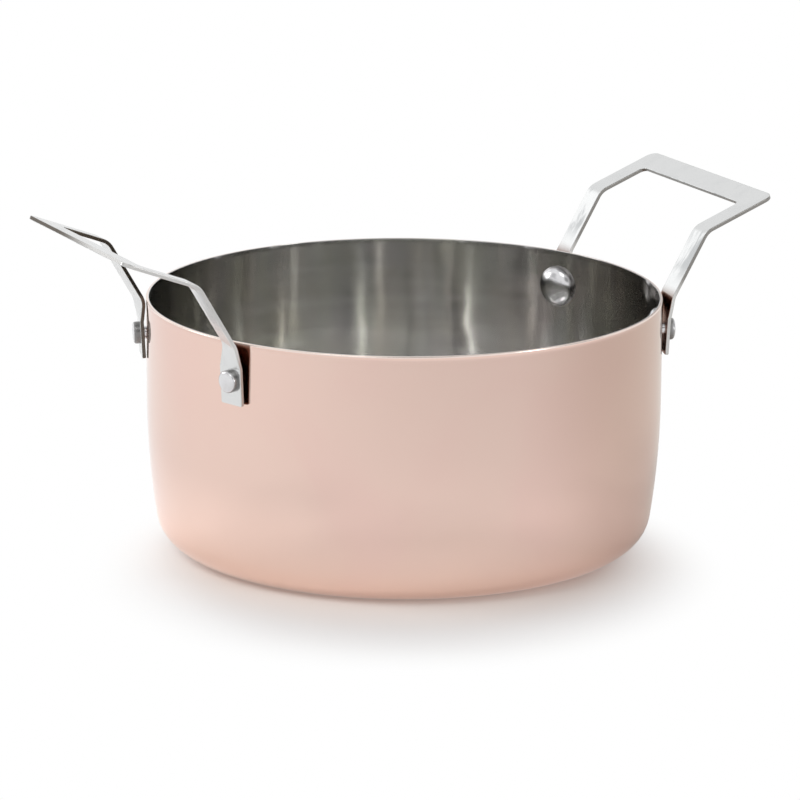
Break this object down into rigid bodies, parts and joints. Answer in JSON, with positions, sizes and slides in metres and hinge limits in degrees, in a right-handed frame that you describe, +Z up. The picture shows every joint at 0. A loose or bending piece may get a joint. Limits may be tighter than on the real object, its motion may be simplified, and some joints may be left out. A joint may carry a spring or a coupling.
{
  "type": "jam pan",
  "caption": "Round open copper pan with a flat base, a gently curved wall, a steel lining and a riveted sheet-steel loop handle on each side.",
  "frame": {"origin": "middle of the flat base, on the surface that the pan stands on", "axes": "+Z up out of the pan's mouth, +X out along the right handle and -X along the left one, -Y towards the side that the picture looks at"},
  "size_m": [0.2758, 0.2, 0.1325],
  "materials": {
    "copper": "polished copper, softly brushed",
    "lining_steel": "fine satin",
    "handle_steel": "smooth satin",
    "rivet_steel": "polished"
  },
  "bodies": {
    "root": {"copper_shell": "copper", "steel_lining": "lining_steel", "left_handle": "handle_steel", "right_handle": "handle_steel", "rivet_left_back": "rivet_steel", "rivet_left_front": "rivet_steel", "rivet_right_back": "rivet_steel", "rivet_right_front": "rivet_steel"}
  },
  "joints": []
}
